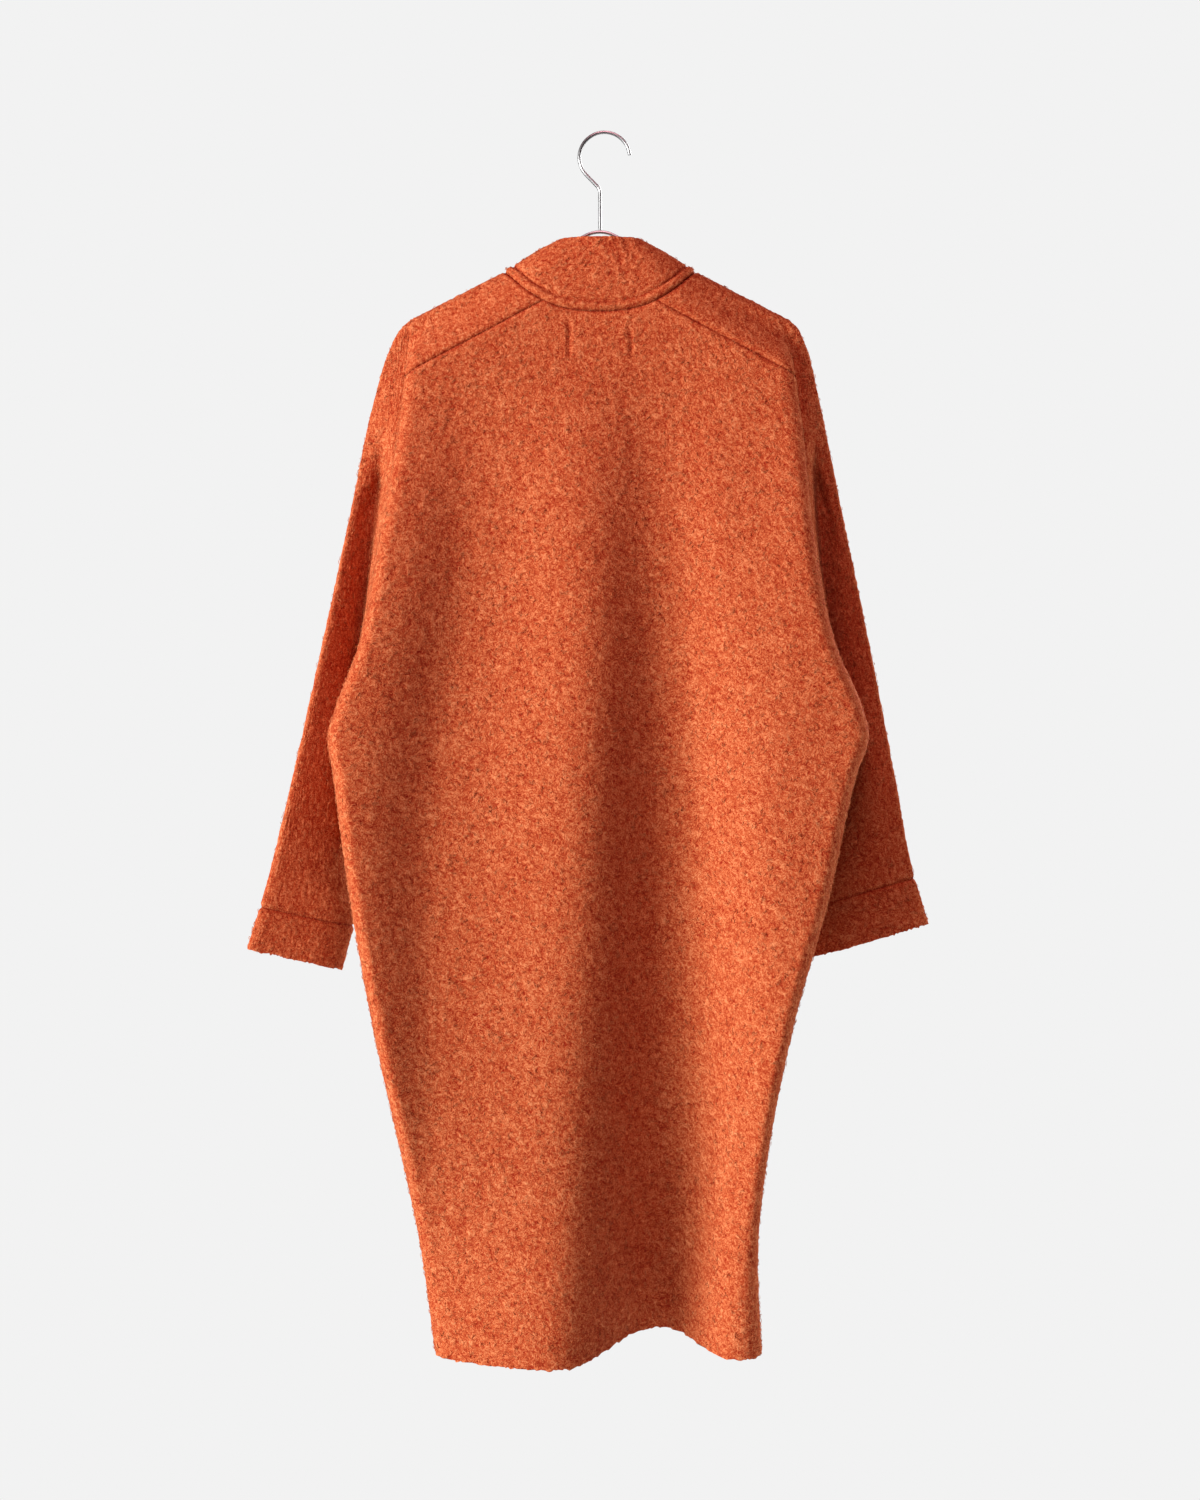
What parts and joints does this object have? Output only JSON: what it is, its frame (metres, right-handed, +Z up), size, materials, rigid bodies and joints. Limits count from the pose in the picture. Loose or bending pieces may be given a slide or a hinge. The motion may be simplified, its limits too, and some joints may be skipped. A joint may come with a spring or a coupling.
{
  "type": "knit coat on a wire hanger",
  "caption": "Rust-coloured napped knit cocoon coat with dropped sleeves, turned cuffs, a stand collar and front bands, hanging open on a wire hanger.",
  "frame": {"origin": "inside top of the hanger's hook, where it bears on a rail", "axes": "+Z up; the coat's back faces -Y and its fronts face +Y; +X is the wearer's right"},
  "size_m": [0.6852, 0.1708, 1.2244],
  "materials": {
    "wool": "napped curly wool knit, matt",
    "steel": "satin wire"
  },
  "bodies": {
    "root": {"back": "wool", "front_left": "wool", "front_right": "wool", "sleeve_left": "wool", "sleeve_right": "wool", "cuff_left": "wool", "cuff_right": "wool", "collar": "wool", "band_left": "wool", "band_right": "wool", "hanger_arms": "steel", "hanger_hook": "steel"}
  },
  "joints": []
}
